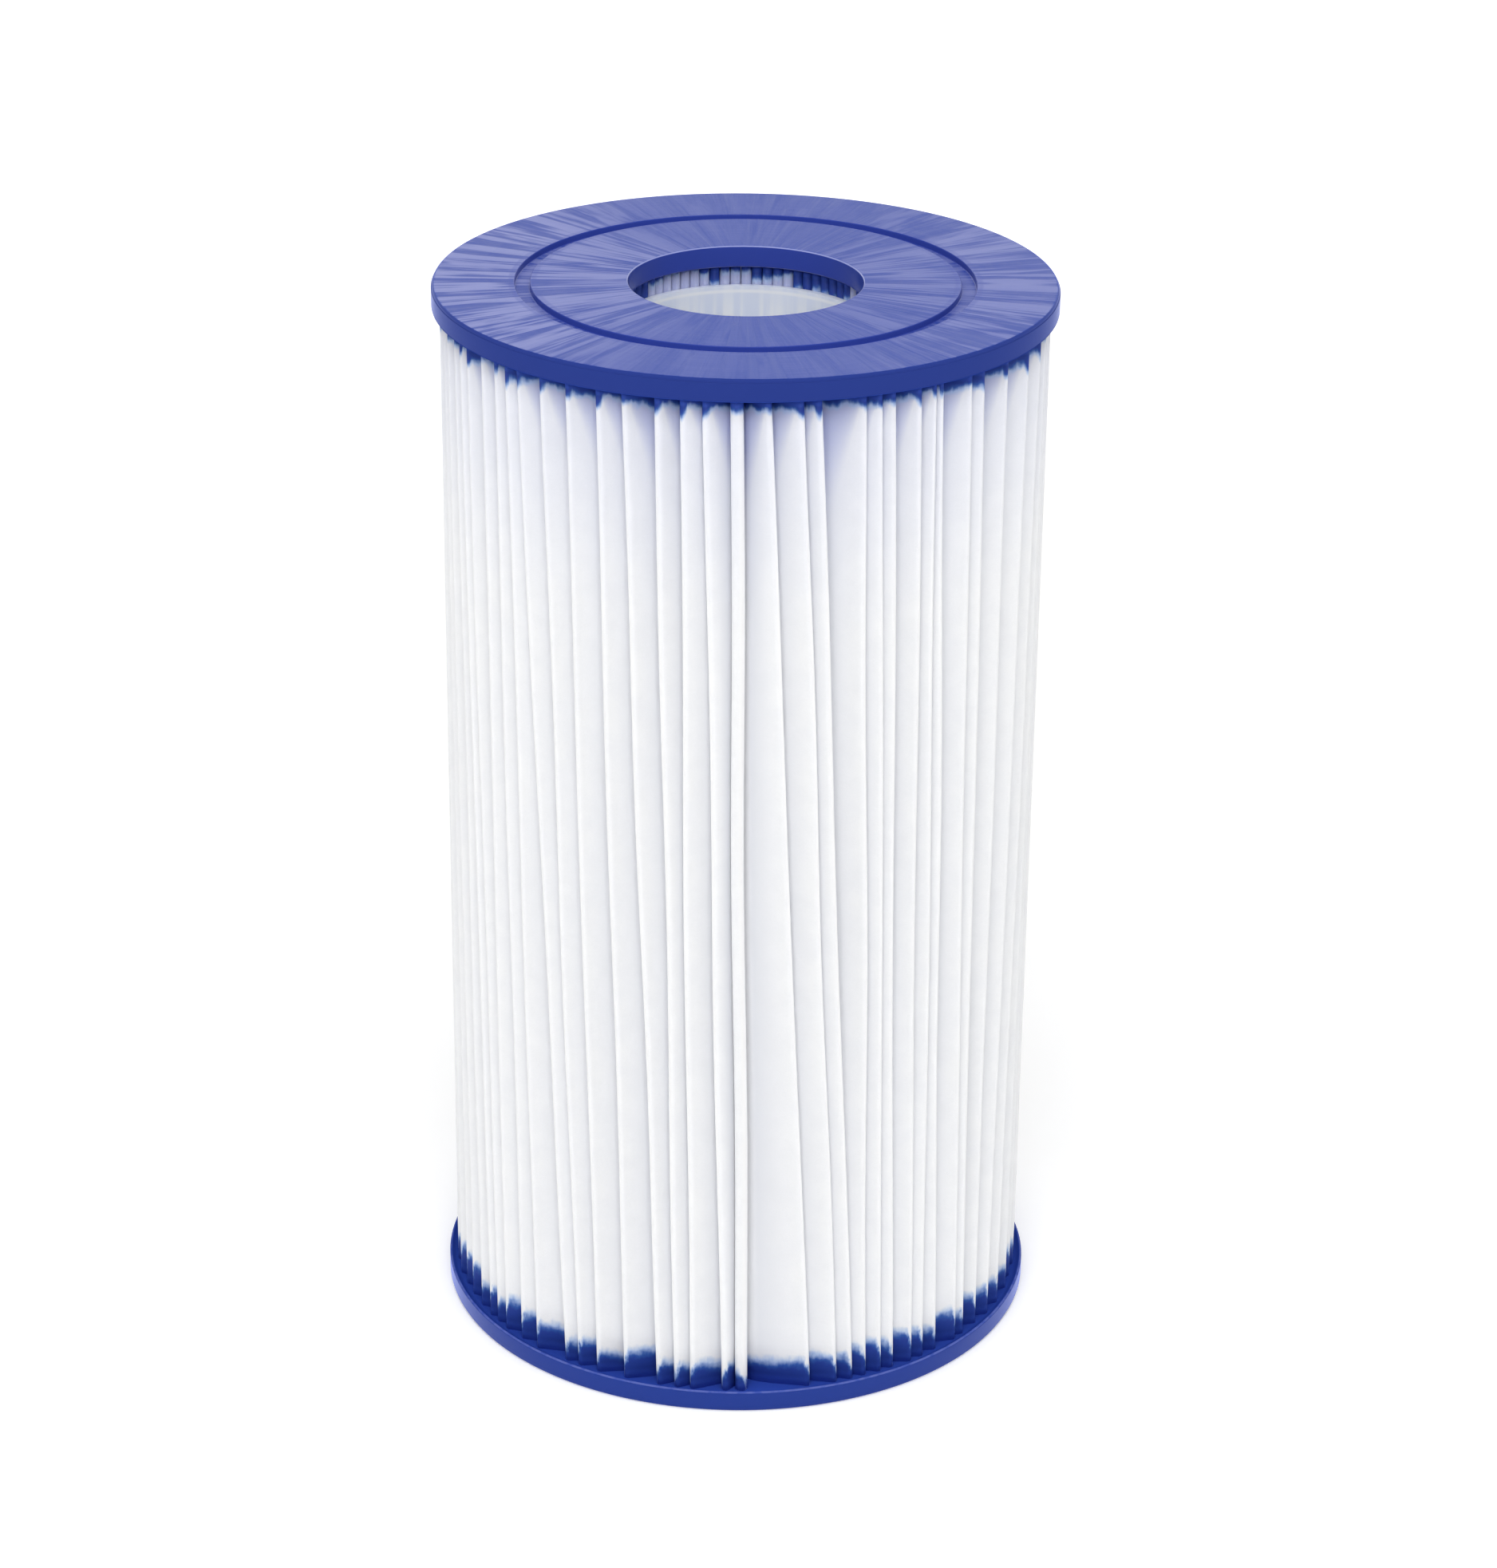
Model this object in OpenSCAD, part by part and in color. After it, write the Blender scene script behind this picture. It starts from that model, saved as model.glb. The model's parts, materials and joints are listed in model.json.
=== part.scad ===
// Pleated filter cartridge for a pool or spa pump: two cast end caps, a pleated
// sheet potted into both of them, the bonded seam that closes the sheet into a
// ring, and a perforated core that holds the pleats open against the suction.
// Millimetres, +Z up, origin at the centre of the lower face.

/* [Overall] */
// Height over both end caps
overall_h = 254; // [200:1:300]
// Outside diameter of the end caps
cap_d = 142; // [132:0.5:160]

/* [End caps] */
// Thickness of an end cap
cap_t = 5.2; // [4.6:0.1:8]
// Diameter of the opening through an end cap
bore_d = 53.3; // [44:0.1:58]
// Radius on the outer edges of an end cap
cap_fillet = 0.7; // [0.3:0.1:1.2]
// Radius at the outer mouth of the opening
bore_fillet = 0.5; // [0.2:0.1:1]
// Width of the flat ring outside the groove
outer_ring_w = 18.8; // [15:0.1:21]
// Width of the ring groove in the outer face
groove_w = 3.5; // [2:0.1:5]
// Depth of the ring groove
groove_depth = 1.5; // [0.5:0.1:2]
// Width of the cap's ledge outside the pleats
cap_ledge = 1.9; // [1:0.1:4]
// Depth to which the ends of the pleats are cast into a cap
pot_depth = 2.4; // [1:0.1:2.5]

/* [Pleated media] */
// Number of pleats
pleat_count = 76; // [56:1:84]
// Thickness of the filter sheet
media_t = 0.6; // [0.4:0.05:0.8]
// Radius of an outer fold, to the middle of the sheet
tip_fold_r = 1; // [0.6:0.05:1.2]
// How far an outer fold may stray from even spacing, as a share of the pitch
pitch_wander = 0.18; // [0:0.01:0.2]
// How far an outer fold may stand back from the largest radius
tip_wander = 0.6; // [0:0.05:1.5]

/* [Seam] */
// Depth of the bond line between the two end flaps of the sheet
seam_depth = 8; // [4:0.5:16]

/* [Inner core] */
// Distance from the opening's wall to the core's inner wall
core_step = 0.6; // [0.3:0.1:2]
// Wall of the core
core_wall = 1.5; // [1:0.1:2.5]
// Space between the core and the inner folds
core_clear = 0.1; // [0.05:0.05:0.3]
// Gap from the top of the core to the upper cap
core_gap = 4.7; // [1:0.1:10]
// Plain band at each end of the core
core_band = 13; // [8:0.5:30]
// Pairs of facing windows around the core
window_pairs = 7; // [5:1:8]
// Width of a window
window_w = 8; // [5:0.5:9]
// Height of a window
window_h = 9; // [5:0.5:14]
// Height of the bar between two rows of windows
window_bar = 3.2; // [2:0.1:6]

/* [Hidden] */
$fn = 96;

// Segments along each fold of the sheet
tip_steps = 5;
root_steps = 3;
// Overlap of a cutting shape past the face that it cuts
cut_over = 1;

cap_r = cap_d / 2;
bore_r = bore_d / 2;
groove_r_out = cap_r - outer_ring_w;
groove_r_in = groove_r_out - groove_w;

core_r_in = bore_r + core_step;
core_r_out = core_r_in + core_wall;
core_z = cap_t;
core_l = overall_h - 2 * cap_t - core_gap;
window_pitch = window_h + window_bar;
window_rows = floor((core_l - 2 * core_band + window_bar) / window_pitch);
window_z = core_z + (core_l - window_rows * window_pitch + window_bar) / 2;

pleat_pitch = 360 / pleat_count;
pleat_r = cap_r - cap_ledge;
root_r = core_r_out + core_clear;
pleat_z = cap_t - pot_depth;
pleat_l = overall_h - 2 * pleat_z;
tip_centre_r = pleat_r - media_t / 2 - tip_fold_r;
// The legs of the sheet stand evenly round the core: four leg spaces to two pleats
root_fold_r = (root_r + media_t / 2) * sin(pleat_pitch / 4) / (1 - sin(pleat_pitch / 4));
root_centre_r = root_r + media_t / 2 + root_fold_r;
fold_sum = tip_fold_r + root_fold_r;
seam_l = overall_h - 2 * cap_t;

// Point at radius r and angle a
function polar(r, a) = r * [cos(a), sin(a)];

// Angle of the vector v
function heading(v) = atan2(v.y, v.x);

// The angle a, turned by whole turns until it is at or above low
function turned_above(a, low) = low + ((a - low) % 360 + 360) % 360;

// Repeatable stray of pleat i, from -1 to 1
function stray(i) = sin(137.5 * i + 50 * sin(61 * i));

// Centre of the outer fold of pleat i
function tip_centre(i) =
    polar(tip_centre_r - tip_wander * (1 + stray(i + 5)) / 2,
          pleat_pitch * (i + 0.5 + pitch_wander * stray(i)));

// Centre of the inner fold between pleats i and i + 1
function root_centre(i) = polar(root_centre_r, pleat_pitch * (i + 1));

// The sheet runs over the outer folds and under the inner ones, like a crossed belt.
// Angle on the outer fold i at which the sheet arrives from the inner fold before it
function tip_start(i) =
    let (d = tip_centre(i) - root_centre(i - 1))
    heading(d) - acos(-fold_sum / norm(d));

// Angle on the outer fold i at which the sheet leaves for the inner fold after it
function tip_end(i) =
    let (d = root_centre(i) - tip_centre(i))
    turned_above(heading(d) - acos(fold_sum / norm(d)), tip_start(i));

// Points on an arc
function arc(centre, r, from, to, steps) =
    [for (k = [0:steps]) centre + polar(r, from + (to - from) * k / steps)];

// Outer fold i of the face that lies out from the sheet's middle, towards the tips
function tip_arc(i, out) =
    arc(tip_centre(i), tip_fold_r + out, tip_start(i), tip_end(i), tip_steps);

// Inner fold after pleat i of that same face, turning the other way
function root_arc(i, out) =
    let (from = tip_end(i) + 180)
    arc(root_centre(i), root_fold_r - out,
        from, turned_above(tip_start(i + 1) + 180, from - 360), root_steps);

// Free edges of the sheet, at the inner fold where its two ends meet
function first_edge(out) =
    root_centre(-1) + polar(root_fold_r - out, tip_start(0) + 180);
function last_edge(out) =
    root_centre(pleat_count - 1) + polar(root_fold_r - out, tip_end(pleat_count - 1) + 180);

// One face of the sheet, from its first free edge to its last
function sheet_face(out) =
    [
        first_edge(out),
        for (i = [0:pleat_count - 1])
            each concat(tip_arc(i, out), i < pleat_count - 1 ? root_arc(i, out) : []),
        last_edge(out)
    ];

function reversed(list) = [for (k = [len(list) - 1:-1:0]) list[k]];

// Cross-section of the pleated sheet
module sheet_section() {
    polygon(concat(sheet_face(media_t / 2), reversed(sheet_face(-media_t / 2))));
}

// What a fillet of radius r removes from the corner of a profile at the origin,
// where the profile lies towards -X and -Y
module fillet_cut(r) {
    translate([-r, -r])
        difference() {
            square(r + cut_over);
            circle(r);
        }
}

// Half section of an end cap, outer face up
module cap_profile() {
    difference() {
        translate([bore_r, 0]) square([cap_r - bore_r, cap_t]);
        translate([cap_r, cap_t]) fillet_cut(cap_fillet);
        translate([bore_r, cap_t]) mirror([1, 0]) fillet_cut(bore_fillet);
        translate([groove_r_in, cap_t - groove_depth]) square([groove_w, groove_depth + cut_over]);
    }
}

// An end cap with its inner face on z = 0, cast round the ends of the pleats
module end_cap() {
    difference() {
        rotate_extrude() cap_profile();
        translate([0, 0, -cut_over]) linear_extrude(pot_depth + cut_over) sheet_section();
    }
}

module bottom_end_cap() {
    color("mediumblue") translate([0, 0, cap_t]) mirror([0, 0, 1]) end_cap();
}

module top_end_cap() {
    color("mediumblue") translate([0, 0, overall_h - cap_t]) end_cap();
}

module pleated_media() {
    color("white") translate([0, 0, pleat_z]) linear_extrude(pleat_l) sheet_section();
}

// Bond line that fills the space between the two end flaps of the sheet
module media_seam() {
    last = pleat_count - 1;
    outward = media_t / 2;
    first_way = polar(seam_depth, tip_start(0) + 90);
    last_way = polar(seam_depth, tip_end(last) - 90);
    color("ivory")
        translate([0, 0, cap_t])
            linear_extrude(seam_l)
                polygon([
                    first_edge(outward),
                    first_edge(outward) + first_way,
                    last_edge(outward) + last_way,
                    last_edge(outward)
                ]);
}

// Perforated tube that the inner folds lean on; it stands on the lower cap
module inner_core() {
    color("whitesmoke")
        difference() {
            translate([0, 0, core_z])
                difference() {
                    cylinder(h = core_l, r = core_r_out);
                    translate([0, 0, -cut_over]) cylinder(h = core_l + 2 * cut_over, r = core_r_in);
                }
            for (row = [0:window_rows - 1], pair = [0:window_pairs - 1])
                translate([0, 0, window_z + row * window_pitch])
                    rotate(180 * pair / window_pairs)
                        translate([-core_r_out - cut_over, -window_w / 2, 0])
                            cube([2 * (core_r_out + cut_over), window_w, window_h]);
        }
}

bottom_end_cap();
top_end_cap();
pleated_media();
media_seam();
inner_core();
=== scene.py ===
import json
import math

import bpy
import numpy as np
from mathutils import Matrix, Vector


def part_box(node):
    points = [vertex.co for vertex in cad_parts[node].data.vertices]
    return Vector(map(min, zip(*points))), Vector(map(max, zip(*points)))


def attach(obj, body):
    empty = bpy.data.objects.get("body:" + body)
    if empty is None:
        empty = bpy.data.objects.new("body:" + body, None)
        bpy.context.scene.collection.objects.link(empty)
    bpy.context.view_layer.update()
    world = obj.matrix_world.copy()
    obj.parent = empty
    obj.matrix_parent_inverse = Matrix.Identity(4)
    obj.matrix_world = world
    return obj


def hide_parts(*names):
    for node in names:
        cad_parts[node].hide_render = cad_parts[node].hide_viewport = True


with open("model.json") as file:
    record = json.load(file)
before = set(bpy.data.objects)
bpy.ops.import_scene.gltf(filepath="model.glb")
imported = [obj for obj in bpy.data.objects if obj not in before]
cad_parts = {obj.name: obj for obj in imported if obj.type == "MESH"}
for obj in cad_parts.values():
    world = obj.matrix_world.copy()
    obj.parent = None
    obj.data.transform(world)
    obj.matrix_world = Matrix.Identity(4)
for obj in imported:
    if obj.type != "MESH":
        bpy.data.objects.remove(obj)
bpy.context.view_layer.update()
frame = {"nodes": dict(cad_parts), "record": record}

MM = 0.001
QUARTER_TURN = math.pi / 2

# Sizes that the frame gives
cap_low, cap_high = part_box("top_end_cap")
media_low, media_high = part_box("pleated_media")
seam_low, seam_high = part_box("media_seam")
core_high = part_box("inner_core")[1]
BORE_R = frame["record"]["mounts"][0]["dims"]["r_mm"] * MM
CAP_R = cap_high.x
CAP_T = cap_high.z - cap_low.z
HEIGHT = cap_high.z
LOWER_FACE = CAP_T
UPPER_FACE = HEIGHT - CAP_T

# End caps
CAP_FILLET = 0.6 * MM
BORE_FILLET = 0.4 * MM
GROOVE_IN_R = 48.7 * MM
GROOVE_OUT_R = 52.2 * MM
GROOVE_DEPTH = 1.5 * MM
GROOVE_FILLET = 0.22 * MM
STEP_DROP = 0.85 * MM
STEP_WIDTH = 0.2 * MM
CAST_FILLET = 0.4 * MM
# The casting resin stands a little below its rim where it meets the pleats:
# distance from the axis and depth, in millimetres
SUNK_RESIN = [
    (60.0, 0.0), (61.5, 0.7), (69.0, 0.75), (69.5, 0.7), (69.9, 0.5), (70.25, 0.2), (70.5, 0.0),
]
# What lies within this height of a cap's inner face has its finish
INNER_FACE_REACH = 1.0 * MM
CAP_SEGMENTS = 360
FILLET_STEPS = 5
SMALL_FILLET_STEPS = 3
# Finishes of a cap, in the order of its materials
FACE_ZONE, RIM_ZONE, INSIDE_ZONE = range(3)

# The pleated sheet
SHEET_T = 0.6 * MM
TIP_R_LOW = 69.1 * MM
TIP_R_HIGH = 69.2 * MM
TIP_SETBACK = 0.5 * MM
# Radius of a fold tip: the least, the most where a leg spreads, and the most where both legs stand steep
TIP_FOLD_LEAST = 0.32 * MM
TIP_FOLD_SPREAD = 0.6 * MM
TIP_FOLD_STEEP = 1.15 * MM
# The same as a share of the room between tips
TIP_SHARE_SPREAD = 0.26
TIP_SHARE_STEEP = 0.38
ROOT_CLEARANCE = 0.15 * MM
ROOT_R = core_high.x + ROOT_CLEARANCE
ROOT_FOLD_R = 0.88 * MM
# A spread leg runs in under its neighbour's tip; from its knee inwards it lies against the neighbour's leg
PRESSED = 0.65 * MM
KNEE_DEPTH = (2.4 * MM, 7.2 * MM)
KNEE_VARIATION = (0.85, 1.15)
KNEE_SWING = 0.12
# Depth of a trough for each length of its width, at the lower and at the upper cap
KNEE_RATIO_LOW = 1.15
KNEE_RATIO_HIGH = 1.8
UNDERCUT_MOST = math.radians(42)
UNDERCUT_SHARE = 0.75
# Where both legs of a tip stand steep, little room is left under it
STEEP_UNDERCUT = math.radians(8)
STEEP_KNEE_SHARE = 0.55
LEAN_MOST = math.radians(70)
# Shape of a leg: how far it bends at its knee, and how long its ends keep their direction
KNEE_BEND = 0.4
FLANK_PULL = 0.9
# Points of the mesh up the sheet and along one pleat, and the point of a tip that carries its crease
SHEET_LEVELS = 20
TIP_STEPS = 8
CREASE_STEP = 2
ROOT_STEPS = 4
FLANK_POINTS = 7
FLANK_CROWDING = 1.5
DEEP_POINTS = 2
LEG_POINTS = FLANK_POINTS + DEEP_POINTS
# Flat size of the sheet, in metres
FLAT_WIDTH = media_high.z - media_low.z

# Climb of the casting resin from the lower cap: ranges in millimetres for legs and inner folds
LOW_LEG_CLIMB = (3.5, 6.4)
LOW_ROOT_CLIMB = (5.4, 7.0)
# From the upper cap: least on a leg, how much more at the sides, and the share of that in front
HIGH_LEG_CLIMB = 1.15
HIGH_LEG_MORE = 2.4
HIGH_FRONT_SHARE = 0.15
# Inner folds in patches, and a tooth of resin down each tip
ROOT_PATCH = (0.2, 0.38, 0.5, 0.8)
HIGH_ROOT_CLIMB = (0.2, 2.2, 4.8, 7.0)
TOOTH_LENGTH = (0.6, 3.0)
TOOTH_PLACE = (0.3, 0.7)
TOOTH_TOP = 1.15
TOOTH_WIDTH = 0.75
# The resin's line sinks towards the bottom of a trough, at both caps, and stands higher at the sides
WICK_FALL = 0.42
WICK_SLOPE = (-1.0 * MM, 2.2 * MM)
WICK_FALL_DEPTH = 6.0 * MM
WICK_SIDE = 1.6 * MM

# Fold tips in the front half, left to right: degrees round from the front, at the upper and at the lower cap
FRONT_FOLDS = [
    (-69.6, -63.1), (-66.0, -58.7), (-62.7, -55.8), (-56.4, -52.4), (-52.2, -47.4), (-48.6, -42.5),
    (-45.5, -35.0), (-39.6, -31.9), (-33.5, -27.5), (-27.1, -21.5), (-21.9, -14.6), (-15.5, -11.0),
    (-10.8, -7.9), (-6.8, -1.6), (-1.3, 1.5), (4.1, 14.6), (9.9, 20.1), (13.2, 23.5),
    (21.8, 26.5), (24.9, 29.9), (27.6, 32.8), (33.0, 37.2), (36.6, 40.3), (38.3, 44.0),
    (45.1, 49.7), (48.8, 52.5), (56.8, 57.4), (64.9, 62.0), (71.8, 67.0),
]
AT_UPPER_CAP, AT_LOWER_CAP = range(2)
# The rest of the tips are spaced evenly to the seam and then moved a little; angles are in degrees
SEAM_ANGLE = 90.0
SEAM_HALF_PITCH = 1.25
BACK_FOLDS = 43
RIGHT_FOLDS = 4
FOLD_JITTER = 0.7
END_JITTER = 0.4
WANDER = 0.3
WANDER_WAVES = (0.6, 1.6)

SEED = 4
rng = np.random.default_rng(SEED)


def unit(angle):
    """Unit vectors at these angles."""
    return np.stack([np.cos(angle), np.sin(angle)], -1)


def heading(v):
    """Angles of these vectors."""
    return np.arctan2(v[..., 1], v[..., 0])


def turned_above(angle, low):
    """The angles, turned by whole turns until each is at or above low."""
    return low + np.mod(angle - low, 2 * math.pi)


def fold_tips(column):
    """Angles of all fold tips from the seam round to the seam again, in degrees from the front."""
    front = np.array([pair[column] for pair in FRONT_FOLDS])
    back = np.linspace(SEAM_ANGLE + SEAM_HALF_PITCH, front[0] + 360, BACK_FOLDS, endpoint=False)
    right = np.linspace(front[-1], SEAM_ANGLE - SEAM_HALF_PITCH, RIGHT_FOLDS + 1)[1:]
    return np.concatenate([back, front + 360, right + 360])


class Pleats:
    """The fold layout of the sheet, and its cross-section at any height."""

    def __init__(self):
        upper, lower = fold_tips(AT_UPPER_CAP), fold_tips(AT_LOWER_CAP)
        count = len(upper)
        free = np.ones(count)
        free[BACK_FOLDS:BACK_FOLDS + len(FRONT_FOLDS)] = 0
        free[[0, -1]] = 0
        shared = rng.uniform(-FOLD_JITTER, FOLD_JITTER, count) * free
        self.count = count
        self.upper = upper + shared + rng.uniform(-END_JITTER, END_JITTER, count) * free
        self.lower = lower + shared + rng.uniform(-END_JITTER, END_JITTER, count) * free
        self.setback = TIP_SETBACK * rng.uniform(0, 1, count) ** 2
        self.wave = rng.uniform(*WANDER_WAVES, count)
        self.phase = rng.uniform(0, 1, count)
        self.knee_share = rng.uniform(*KNEE_VARIATION, count)
        self.knee_phase = rng.uniform(0, 1, count)
        # Left of the front middle the leg after a tip spreads to its neighbour, right of it the one before
        middles = self.middles((self.upper + self.lower) / 2)
        left = np.mod(middles + 180, 360) < 180
        self.spreads_after = left.copy()
        self.spreads_after[-1] = False
        self.spreads_before = np.roll(~left, 1)
        self.spreads_before[0] = False
        leans = self.spreads_after | self.spreads_before
        self.fold_most = np.where(leans, TIP_FOLD_SPREAD, TIP_FOLD_STEEP)
        self.fold_share = np.where(leans, TIP_SHARE_SPREAD, TIP_SHARE_STEEP)
        self.knee_share[~leans | np.roll(~leans, -1)] *= STEEP_KNEE_SHARE

    @staticmethod
    def middles(tips):
        """Angles halfway between each tip and the next."""
        return (tips + np.append(tips[1:], tips[0] + 360)) / 2

    def tips(self, share):
        """Fold tip angles at a share of the height, in degrees from the front."""
        swing = np.sin(2 * math.pi * (self.wave * share + self.phase))
        wander = WANDER * swing * math.sin(math.pi * share)
        return self.lower + (self.upper - self.lower) * share + wander

    def roots(self):
        """Inner fold angles, spaced evenly by the core, in degrees from the front."""
        return SEAM_ANGLE + 360 * np.arange(1, self.count + 1) / self.count

    def belt(self, share):
        """Fold centres, fold radii and tangent angles of the taut sheet at a share of the height."""
        tips = self.tips(share)
        roots = self.roots()
        tip_r = TIP_R_LOW + (TIP_R_HIGH - TIP_R_LOW) * share - self.setback
        gaps = np.diff(np.append(tips, tips[0] + 360))
        room = np.radians(np.minimum(gaps, np.roll(gaps, 1))) * tip_r
        fold = np.clip(self.fold_share * room - SHEET_T / 2, TIP_FOLD_LEAST, self.fold_most)
        tip_c = (tip_r - SHEET_T / 2 - fold)[:, None] * unit(np.radians(tips) - QUARTER_TURN)
        root_c = (ROOT_R + SHEET_T / 2 + ROOT_FOLD_R) * unit(np.radians(roots) - QUARTER_TURN)
        before = np.roll(root_c, 1, axis=0)
        reach = fold + ROOT_FOLD_R
        arrive = tip_c - before
        leave = root_c - tip_c
        start = heading(arrive) - np.arccos(-reach / np.linalg.norm(arrive, axis=1))
        end = heading(leave) - np.arccos(reach / np.linalg.norm(leave, axis=1))
        return tip_c, root_c, fold, start, turned_above(end, start)

    def gaps(self, share, tip_c, fold):
        """Free width of the gap after each tip, and how far down the neighbour's leg its knee lies."""
        apart = np.linalg.norm(np.roll(tip_c, -1, axis=0) - tip_c, axis=1)
        width = np.clip(apart - fold - np.roll(fold, -1) - PRESSED, 0, None)
        swing = 1 + KNEE_SWING * np.sin(2 * math.pi * (share + self.knee_phase))
        ratio = KNEE_RATIO_LOW + (KNEE_RATIO_HIGH - KNEE_RATIO_LOW) * share
        return width, np.clip(ratio * width, *KNEE_DEPTH) * self.knee_share * swing

    def undercuts(self, width, depth):
        """How far each tip's steep side leans in under the tip, before and after it."""
        lean = np.arctan2(width, depth)
        own = np.where(self.spreads_after, lean, np.roll(lean, 1))
        before = np.minimum(UNDERCUT_SHARE * own, UNDERCUT_MOST)
        before[~(self.spreads_after | self.spreads_before)] = STEEP_UNDERCUT
        after = before.copy()
        before[0] = 0
        after[-1] = 0
        return before, after

    def knees(self, share, tip_c, fold, start, end):
        """Knee of the leg before and after each tip, and the angles where the sheet joins and leaves it."""
        radius = fold[:, None]
        width, depth = self.gaps(share, tip_c, fold)
        under_before, under_after = self.undercuts(width, depth)
        first, last = start - under_before, end + under_after
        before = tip_c + radius * unit(first) + np.roll(depth, 1)[:, None] * unit(first - QUARTER_TURN)
        after = tip_c + radius * unit(last) + depth[:, None] * unit(last + QUARTER_TURN)
        spread_before = np.roll(after + PRESSED * unit(last), 1, axis=0)
        spread_after = np.roll(before + PRESSED * unit(first), -1, axis=0)

        lean = heading(spread_before - tip_c - radius * unit(start)) - start + QUARTER_TURN
        lean = np.clip(turned_above(lean, -math.pi), 0, LEAN_MOST)
        first = np.where(self.spreads_before, start + lean, first)
        lean = end + QUARTER_TURN - heading(spread_after - tip_c - radius * unit(end))
        lean = np.clip(turned_above(lean, -math.pi), 0, LEAN_MOST)
        last = np.where(self.spreads_after, end - lean, last)
        before = np.where(self.spreads_before[:, None], spread_before, before)
        after = np.where(self.spreads_after[:, None], spread_after, after)
        return before, after, first, last

    @staticmethod
    def leg(tip, tip_way, knee, foot):
        """Points of one leg from just inside its fold tip to just before its foot."""
        knee_way = KNEE_BEND * unit(heading(foot - knee)) + unit(heading(knee - tip))
        knee_way /= np.linalg.norm(knee_way, axis=1)[:, None]
        pull = FLANK_PULL * np.linalg.norm(knee - tip, axis=1)[:, None, None]
        s = (np.linspace(0, 1, FLANK_POINTS + 1)[1:] ** FLANK_CROWDING)[None, :, None]
        flank = (
            (2 * s ** 3 - 3 * s ** 2 + 1) * tip[:, None]
            + (s ** 3 - 2 * s ** 2 + s) * pull * tip_way[:, None]
            + (3 * s ** 2 - 2 * s ** 3) * knee[:, None]
            + (s ** 3 - s ** 2) * pull * knee_way[:, None]
        )
        s = np.linspace(0, 1, DEEP_POINTS + 2)[1:-1][None, :, None]
        deep = knee[:, None] + (foot - knee)[:, None] * s
        return np.concatenate([flank, deep], axis=1)

    def middle_line(self, share):
        """The middle of the sheet at a share of the height, from its first free edge to its last."""
        tip_c, root_c, fold, start, end = self.belt(share)
        in_foot = np.roll(root_c, 1, axis=0) - ROOT_FOLD_R * unit(start)
        out_foot = root_c - ROOT_FOLD_R * unit(end)
        in_knee, out_knee, first, last = self.knees(share, tip_c, fold, start, end)
        angles = first[:, None] + (last - first)[:, None] * np.linspace(0, 1, TIP_STEPS + 1)
        tip = tip_c[:, None] + fold[:, None, None] * unit(angles)
        arriving = self.leg(tip[:, 0], unit(first - QUARTER_TURN), in_knee, in_foot)[:, ::-1]
        leaving = self.leg(tip[:, -1], unit(last + QUARTER_TURN), out_knee, out_foot)
        root_from = end + math.pi
        root_to = turned_above(np.roll(start, -1) + math.pi, root_from - 2 * math.pi)
        steps = np.linspace(0, 1, ROOT_STEPS + 1)[1:-1]
        angles = root_from[:, None] + (root_to - root_from)[:, None] * steps
        root = root_c[:, None] + ROOT_FOLD_R * unit(angles)
        pleat = [in_foot[:, None], arriving, tip, leaving, out_foot[:, None], root]
        return np.concatenate(pleat, axis=1).reshape(-1, 2)[:1 - ROOT_STEPS]

    def face(self, share, out):
        """One face of the sheet: its middle line moved out along its normals."""
        line = self.middle_line(share)
        steps = np.diff(line, axis=0)
        steps /= np.linalg.norm(steps, axis=1)[:, None]
        way = np.concatenate([steps[:1], steps[:-1] + steps[1:], steps[-1:]])
        way /= np.linalg.norm(way, axis=1)[:, None]
        return line + out * np.column_stack([way[:, 1], -way[:, 0]])


def finish_mesh(name, vertices, faces, smooth=True):
    """A new object with this mesh, linked into the scene."""
    mesh = bpy.data.meshes.new(name)
    mesh.from_pydata([tuple(v) for v in vertices], [], [tuple(f) for f in faces])
    mesh.polygons.foreach_set("use_smooth", [smooth] * len(mesh.polygons))
    mesh.update()
    obj = bpy.data.objects.new(name, mesh)
    bpy.context.scene.collection.objects.link(obj)
    return obj


def add_attribute(obj, name, values):
    """Stores a number on each point of a mesh, for its material to read."""
    attribute = obj.data.attributes.new(name, "FLOAT", "POINT")
    attribute.data.foreach_set("value", np.asarray(values, np.float32))


def along_pleats(tip, leg, root):
    """A value for each point of one face, from values across each tip, per leg and per inner fold."""
    before = np.repeat(leg[:, :1], LEG_POINTS, axis=1)
    after = np.repeat(leg[:, 1:], LEG_POINTS, axis=1)
    inner = np.repeat(root[:, None], ROOT_STEPS - 1, axis=1)
    before[:, :DEEP_POINTS] = np.roll(root, 1)[:, None]
    after[:, -DEEP_POINTS:] = root[:, None]
    pleat = [np.roll(root, 1)[:, None], before, tip, after, root[:, None], inner]
    return np.concatenate(pleat, axis=1).reshape(-1)[:1 - ROOT_STEPS]


def trough_column(pleats):
    """For each point of one face, 0 on a fold tip, rising to 1 at the knee of a leg and further in."""
    flank = np.linspace(0, 1, FLANK_POINTS + 1)[1:] ** FLANK_CROWDING
    leg = np.concatenate([flank, np.ones(DEEP_POINTS)])
    pleat = np.concatenate([[1], leg[::-1], np.zeros(TIP_STEPS + 1), leg, np.ones(ROOT_STEPS)])
    return np.tile(pleat, pleats.count)[:1 - ROOT_STEPS]


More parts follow.
